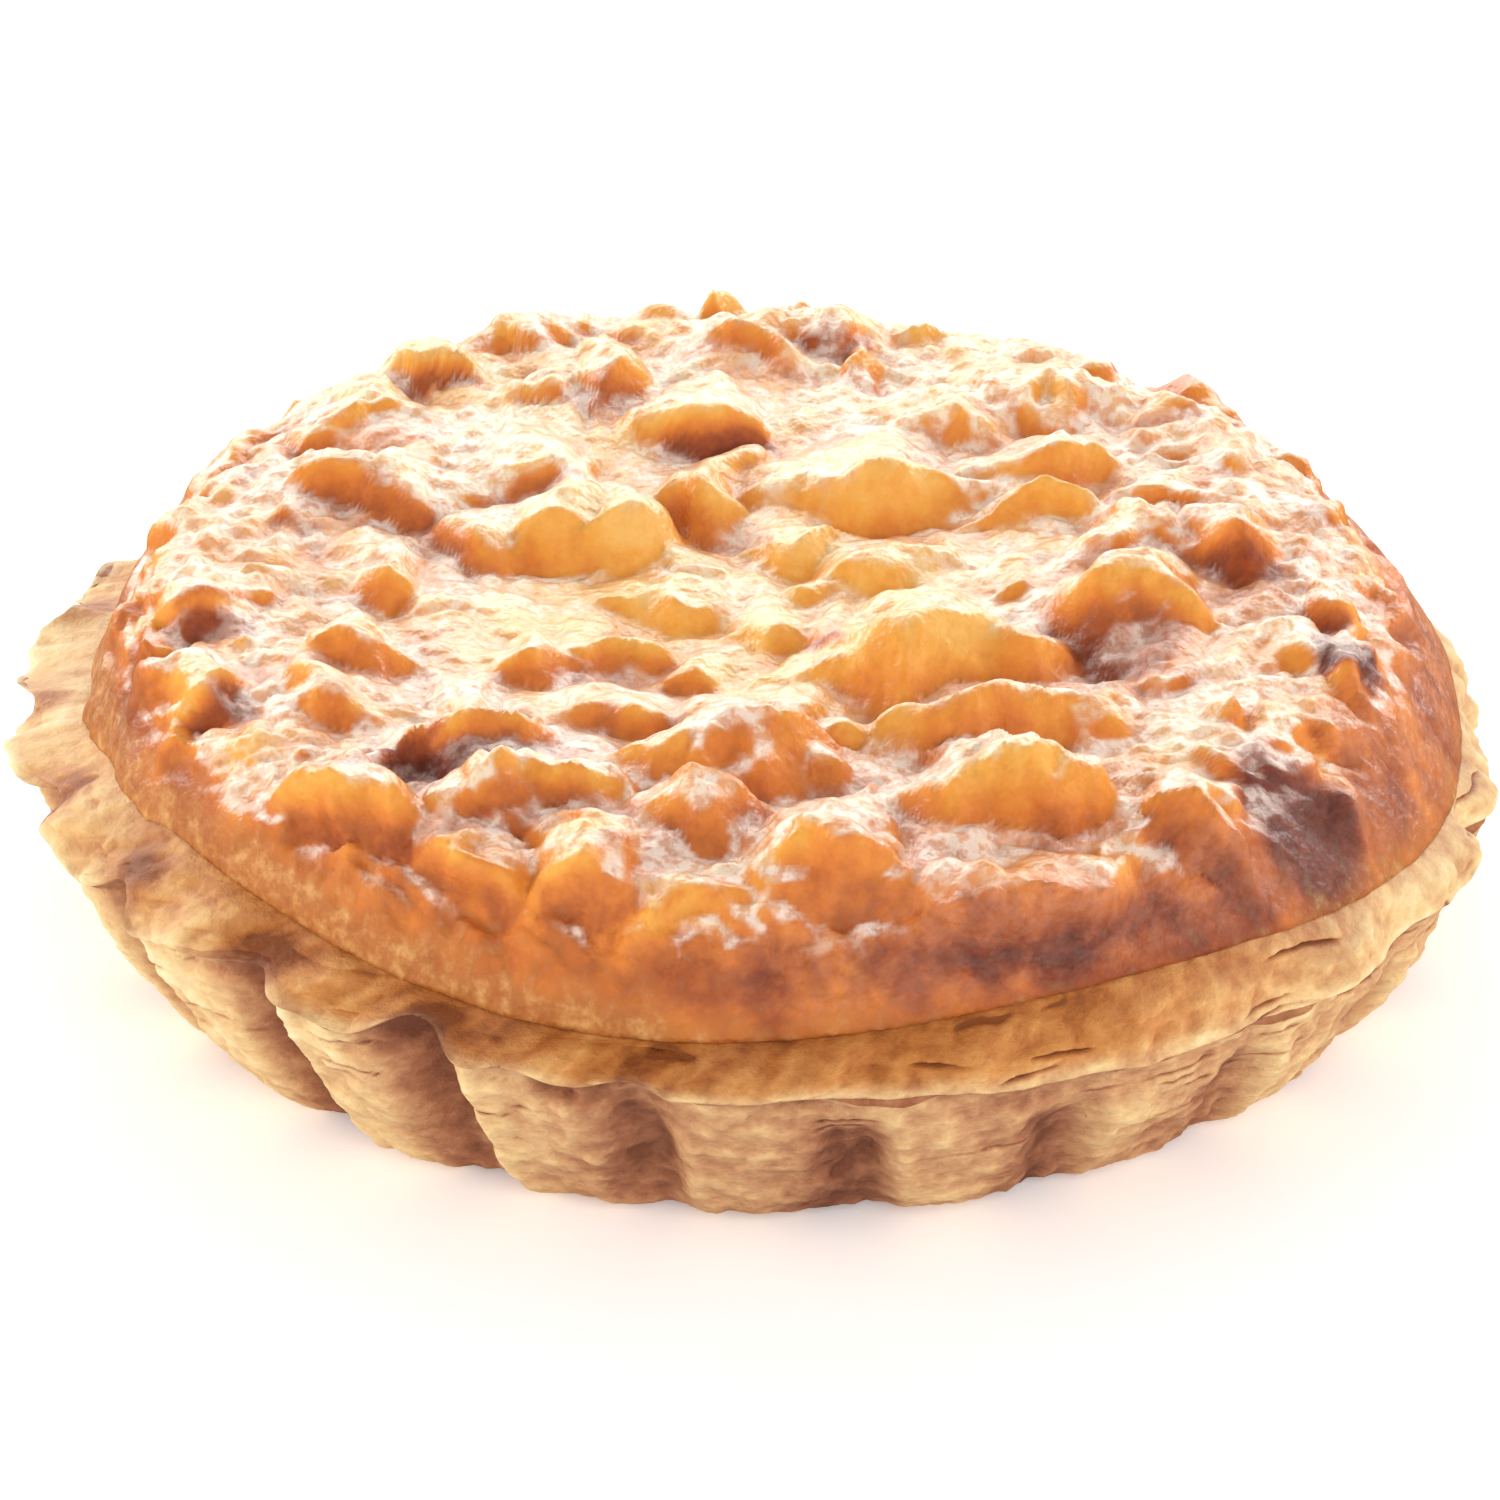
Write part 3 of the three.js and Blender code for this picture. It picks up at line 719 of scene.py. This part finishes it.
    # Painted shade in the grooves, the recess and on the lobes' right flanks; painted light on the ridges
    # and the left side.
    wall_tone_and_shade = 0.545 - 0.34 * shade - 0.22 * dip / FLUTE_DEPTH + 0.16 * ridge - 0.30 * recess
    wall_tone_and_shade = wall_tone_and_shade + 0.05 * wall_leaf - 0.8 * wall_crack + 0.12 * patchy
    wall_tone_and_shade = wall_tone_and_shade + mix(0.08, 0.24, crumbly) * rough + 0.08 * right + 0.30 * left - 0.12 * front
    rim = 1 - smooth(over, 0.04, 0.30)
    lip_tone_and_shade = 0.62 + mix(0.12, 0.04, calm) * lip_leaf + mix(0.16, 0.08, calm) * flaky
    lip_tone_and_shade = lip_tone_and_shade + 0.14 * crumb - 0.9 * lip_crack + 0.14 * rim + 0.08 * right
    # Painted light on the left; painted shade in the left grooves and on the lip next to the filling.
    lip_tone_and_shade = lip_tone_and_shade + 0.16 * left - 0.55 * left * trough * (1 - smooth(over, 0.5, 0.9))
    lip_tone_and_shade = lip_tone_and_shade - front * mix(0.24, 0.40, smooth(over, 0.2, 0.8)) - 0.10 * smooth(over, 0.7, 1.0)
    none = np.zeros((1, SHELL_COLUMNS))
    # Painted shade: the lip's underside is darker.
    tone_and_shade = np.concatenate([
        none + 0.4, wall_tone_and_shade, none + 0.25 + 0 * under, lip_tone_and_shade, none + 0.6, none + 0.6, none + 0.6,
    ])
    golden = mix(0.05, 1.0, np.maximum(front, 0.4 * left)) * smooth(over, 0.0, 0.4)
    uneven = 0.35 * (1 - 0.8 * right) * round_trip(arc + 0 * over, over * 6, 8, 84, 2)
    lip_gold = np.clip(golden + uneven, 0, 1)
    gold = np.concatenate([none, 0 * wall_tone_and_shade, none + 0 * under, lip_gold, none, none, none])
    marks = {
        "tone_and_shade": np.concatenate([tone_and_shade.reshape(-1), [0.5, 0.5]]),
        "gold": np.concatenate([gold.reshape(-1), [0, 0]]),
    }
    return new_piece("flaky_pastry_shell", points, faces, marks, material, "pastry_shell")


# Materials


def linear(colour):
    """An sRGB hex colour as linear red, green, blue and full alpha."""
    values = np.array([int(colour[i : i + 2], 16) for i in (1, 3, 5)]) / 255
    values = np.where(values <= 0.04045, values / 12.92, ((values + 0.055) / 1.055) ** 2.4)
    return (*values.tolist(), 1.0)


def add(tree, kind, sockets=None, **settings):
    """Adds a node with its settings; each socket takes a value, or a link where it is given an output."""
    made = tree.nodes.new(kind)
    for name, value in settings.items():
        setattr(made, name, value)
    for name, value in (sockets or {}).items():
        if isinstance(value, bpy.types.NodeSocket):
            tree.links.new(value, made.inputs[name])
        else:
            made.inputs[name].default_value = value
    return made


def colour_steps(ramp, steps):
    """Sets a colour ramp's stops from (place, hex colour) pairs."""
    stops = ramp.color_ramp.elements
    while len(stops) < len(steps):
        stops.new(1.0)
    for stop, (place, colour) in zip(stops, steps):
        stop.position = place
        stop.color = linear(colour)


def new_material(name):
    """An empty node material with an output and a principled shader."""
    material = bpy.data.materials.new(name)
    material.use_nodes = True
    tree = material.node_tree
    tree.nodes.clear()
    shader = add(tree, "ShaderNodeBsdfPrincipled")
    out = add(tree, "ShaderNodeOutputMaterial")
    tree.links.new(shader.outputs["BSDF"], out.inputs["Surface"])
    return material, tree, shader


def baked_custard():
    """Egg and milk custard with rice, baked uncovered: moist, a little see-through and glossy on top.

    The eye gets golden yellow in the middle, orange to red-brown skin outwards, dull dark burns, a tan
    foot, near-white painted sheen wherever it lies level, and painted shade in hollows and on faces that
    look to the front.
    """
    material, tree, shader = new_material("baked_rice_custard")
    place = add(tree, "ShaderNodeTexCoord").outputs["Object"]
    browned = add(tree, "ShaderNodeAttribute", attribute_name="browning_and_shade").outputs["Fac"]
    # Fine mottling, about 1.2 mm across.
    mottle = add(
        tree, "ShaderNodeTexNoise",
        {"Vector": place, "Scale": 1 / (1.2 * MM), "Detail": 3.0, "Roughness": 0.62},
    )
    shifted = add(
        tree, "ShaderNodeMath", {0: mottle.outputs["Fac"], 1: 0.36, 2: browned}, operation="MULTIPLY_ADD"
    )
    centred = add(tree, "ShaderNodeMath", {0: shifted.outputs[0], 1: 0.18}, operation="SUBTRACT")
    ramp = add(tree, "ShaderNodeValToRGB", {"Fac": centred.outputs[0]})
    colour_steps(
        ramp,
        [
            (0.00, "#F4BC62"), (0.16, "#EFA947"), (0.32, "#E59236"), (0.48, "#D97C2F"), (0.63, "#BE6528"),
            (0.78, "#9C4A22"), (0.90, "#753322"), (1.00, "#57332C"),
        ],
    )
    # Painted sheen: skin that lies level is painted near-white, broken into flecks 0.8 mm across.
    pale = add(tree, "ShaderNodeAttribute", attribute_name="pale").outputs["Fac"]
    fleck = add(
        tree, "ShaderNodeTexNoise",
        {"Vector": place, "Scale": 1 / (0.8 * MM), "Detail": 2.0, "Roughness": 0.6},
    )
    clear = add(
        tree, "ShaderNodeMapRange",
        {"Value": fleck.outputs["Fac"], "From Min": 0.40, "From Max": 0.56, "To Min": 0.34, "To Max": 0.90},
    )
    share = add(tree, "ShaderNodeMath", {0: pale, 1: clear.outputs["Result"]}, operation="MULTIPLY")
    sheen_colours = add(tree, "ShaderNodeValToRGB", {"Fac": centred.outputs[0]})
    colour_steps(sheen_colours, [(0.0, "#F8DCA4"), (0.35, "#F4DCC4"), (0.60, "#F0D6C6"), (1.0, "#B99A8C")])
    skin = add(
        tree, "ShaderNodeMix",
        {0: share.outputs[0], 6: ramp.outputs["Color"], 7: sheen_colours.outputs["Color"]}, data_type="RGBA",
    )
    # Towards its foot the filling has a dry tan crust like the pastry's lip.
    crusted = add(tree, "ShaderNodeAttribute", attribute_name="crust").outputs["Fac"]
    tan = add(tree, "ShaderNodeValToRGB", {"Fac": mottle.outputs["Fac"]})
    colour_steps(tan, [(0.25, "#A45C2A"), (0.5, "#BE783C"), (0.72, "#DDA664")])
    flaked = add(
        tree, "ShaderNodeMath", {0: mottle.outputs["Fac"], 1: 0.5, 2: crusted}, operation="MULTIPLY_ADD"
    )
    dried = add(
        tree, "ShaderNodeMapRange",
        {"Value": flaked.outputs[0], "From Min": 0.30, "From Max": 0.85, "To Min": 0.0, "To Max": 0.9},
    )
    whole = add(
        tree, "ShaderNodeMix",
        {0: dried.outputs["Result"], 6: skin.outputs[2], 7: tan.outputs["Color"]}, data_type="RGBA",
    )
    tree.links.new(whole.outputs[2], shader.inputs["Base Color"])
    # Burnt skin is duller than moist skin.
    dull = add(
        tree, "ShaderNodeMapRange",
        {"Value": browned, "From Min": 0.2, "From Max": 1.0, "To Min": 0.40, "To Max": 0.58},
    )
    tree.links.new(dull.outputs["Result"], shader.inputs["Roughness"])
    shader.inputs["IOR"].default_value = 1.6
    shader.inputs["Specular IOR Level"].default_value = 0.5
    shader.inputs["Subsurface Weight"].default_value = 0.06
    shader.inputs["Subsurface Radius"].default_value = (3.0 * MM, 1.4 * MM, 0.6 * MM)
    shader.inputs["Subsurface Scale"].default_value = 1.0
    shader.inputs["Coat Weight"].default_value = 0.1
    shader.inputs["Coat Roughness"].default_value = 0.35
    # Pores and grains of the skin, 0.9 mm across.
    grain = add(
        tree, "ShaderNodeTexNoise",
        {"Vector": place, "Scale": 1 / (0.9 * MM), "Detail": 2.0, "Roughness": 0.5},
    )
    bump = add(
        tree, "ShaderNodeBump", {"Height": grain.outputs["Fac"], "Strength": 0.6, "Distance": 0.5 * MM}
    )
    tree.links.new(bump.outputs["Normal"], shader.inputs["Normal"])
    tree.links.new(bump.outputs["Normal"], shader.inputs["Coat Normal"])
    return material


def flaky_pastry():
    """Butter puff pastry, rolled and folded, baked in a fluted tin: dry and matte.

    The eye gets a tan wall with straw-coloured leaves, a golden-orange lip, and pinkish-brown painted shade
    in hollows, grooves and cracks.
    """
    material, tree, shader = new_material("baked_puff_pastry")
    place = add(tree, "ShaderNodeTexCoord").outputs["Object"]
    tone_and_shade = add(tree, "ShaderNodeAttribute", attribute_name="tone_and_shade").outputs["Fac"]
    gold = add(tree, "ShaderNodeAttribute", attribute_name="gold").outputs["Fac"]
    # Flakes show as mottling about 1.2 mm high and a little longer.
    stretch = add(tree, "ShaderNodeMapping", {"Vector": place, "Scale": (0.75, 0.75, 1.0)})
    streaks = add(
        tree, "ShaderNodeTexNoise",
        {"Vector": stretch.outputs["Vector"], "Scale": 1 / (1.2 * MM), "Detail": 4.0, "Roughness": 0.65},
    )
    streaked = add(
        tree, "ShaderNodeMath", {0: streaks.outputs["Fac"], 1: 0.64, 2: tone_and_shade}, operation="MULTIPLY_ADD"
    )
    centred = add(tree, "ShaderNodeMath", {0: streaked.outputs[0], 1: 0.32}, operation="SUBTRACT")
    plain = add(tree, "ShaderNodeValToRGB", {"Fac": centred.outputs[0]})
    colour_steps(
        plain,
        [(0.0, "#7E4A33"), (0.25, "#A66C4B"), (0.5, "#CB996B"), (0.75, "#E5C28B"), (1.0, "#F7E2B4")],
    )
    golden = add(tree, "ShaderNodeValToRGB", {"Fac": centred.outputs[0]})
    colour_steps(
        golden,
        [(0.0, "#86481F"), (0.25, "#B26A2F"), (0.5, "#CE8B49"), (0.75, "#E4AF6B"), (1.0, "#F5D397")],
    )
    both = add(
        tree, "ShaderNodeMix",
        {0: gold, 6: plain.outputs["Color"], 7: golden.outputs["Color"]}, data_type="RGBA",
    )
    tree.links.new(both.outputs[2], shader.inputs["Base Color"])
    shader.inputs["Roughness"].default_value = 0.68
    shader.inputs["IOR"].default_value = 1.42
    shader.inputs["Subsurface Weight"].default_value = 0.06
    shader.inputs["Subsurface Radius"].default_value = (1.2 * MM, 0.7 * MM, 0.4 * MM)
    shader.inputs["Subsurface Scale"].default_value = 1.0
    bump = add(
        tree, "ShaderNodeBump", {"Height": streaks.outputs["Fac"], "Strength": 0.8, "Distance": 0.5 * MM}
    )
    tree.links.new(bump.outputs["Normal"], shader.inputs["Normal"])
    return material


rice_filling(baked_custard())
pastry_shell(flaky_pastry())


# Stage


def pale_floor():
    """A large flat square in matte off-white."""
    half = 3.0
    mesh = bpy.data.meshes.new("floor")
    corners = [(-half, -half, 0), (half, -half, 0), (half, half, 0), (-half, half, 0)]
    mesh.from_pydata(corners, [], [(0, 1, 2, 3)])
    material, _, shader = new_material("matte_white_paint")
    shader.inputs["Base Color"].default_value = linear("#FAFAF9")
    shader.inputs["Emission Color"].default_value = linear("#FFFFFF")
    shader.inputs["Emission Strength"].default_value = 0.22
    shader.inputs["Roughness"].default_value = 0.9
    mesh.materials.append(material)
    floor = bpy.data.objects.new("floor", mesh)
    bpy.context.scene.collection.objects.link(floor)
    floor.visible_glossy = False


def soft_light(name, place, aim, width, height, watts, colour):
    """A rectangular soft light, turned to face a point."""
    lamp = bpy.data.lights.new(name, "AREA")
    lamp.shape = "RECTANGLE"
    lamp.size = width
    lamp.size_y = height
    lamp.energy = watts
    lamp.color = linear(colour)[:3]
    holder = bpy.data.objects.new(name, lamp)
    bpy.context.scene.collection.objects.link(holder)
    aim_along(holder, place, aim)
    holder.visible_camera = False
    return holder


def aim_along(thing, place, aim):
    """Puts a light or camera at a place, looking at a point."""
    direction = np.array(aim) - np.array(place)
    thing.location = place
    pitch = math.atan2(math.hypot(direction[0], direction[1]), -direction[2])
    thing.rotation_euler = (pitch, 0, math.atan2(-direction[0], direction[1]))


def studio():
    """White surroundings, two broad panels behind, one for shine only, side panels and a front light."""
    world = bpy.data.worlds.new("white_room")
    world.use_nodes = True
    back = world.node_tree.nodes["Background"]
    back.inputs["Color"].default_value = linear("#FFFFFF")
    back.inputs["Strength"].default_value = 0.37
    bpy.context.scene.world = world
    world.cycles_visibility.glossy = False
    soft_light("back_panel", (-0.05, 0.50, 0.30), (0, 0, 0.10), 1.50, 0.46, 4.0, "#FFFCF9")
    shine = soft_light("back_shine", (0.0, 0.50, 0.36), (0, 0, 0.03), 1.60, 0.60, 12.0, "#FFFDFA")
    shine.visible_diffuse = False
    right = soft_light("right_panel", (0.60, -0.05, 0.16), (0, 0, 0.02), 0.60, 0.30, 2.0, "#FFFBF8")
    right.visible_glossy = False
    left = soft_light("left_panel", (-0.60, -0.10, 0.16), (0, 0, 0.02), 0.60, 0.30, 2.6, "#FFFBF6")
    left.visible_glossy = False
    front = soft_light("front_light", (0.16, -0.72, 0.44), (0, 0, 0.01), 0.60, 0.50, 3.4, "#FFFFFF")
    front.visible_glossy = False


def camera():
    """A long lens looking down by 28 degrees from the front."""
    distance = 0.600
    down = math.radians(28.0)
    aim = (0.0, 0.0, 12.2 * MM)
    data = bpy.data.cameras.new("camera")
    data.lens = 213.7
    data.sensor_width = 36.0
    data.clip_start = 0.01
    data.clip_end = 20.0
    holder = bpy.data.objects.new("camera", data)
    bpy.context.scene.collection.objects.link(holder)
    place = (0.0, -distance * math.cos(down), aim[2] + distance * math.sin(down))
    aim_along(holder, place, aim)
    bpy.context.scene.camera = holder


pale_floor()
studio()
camera()
bpy.context.scene.view_settings.view_transform = "Standard"
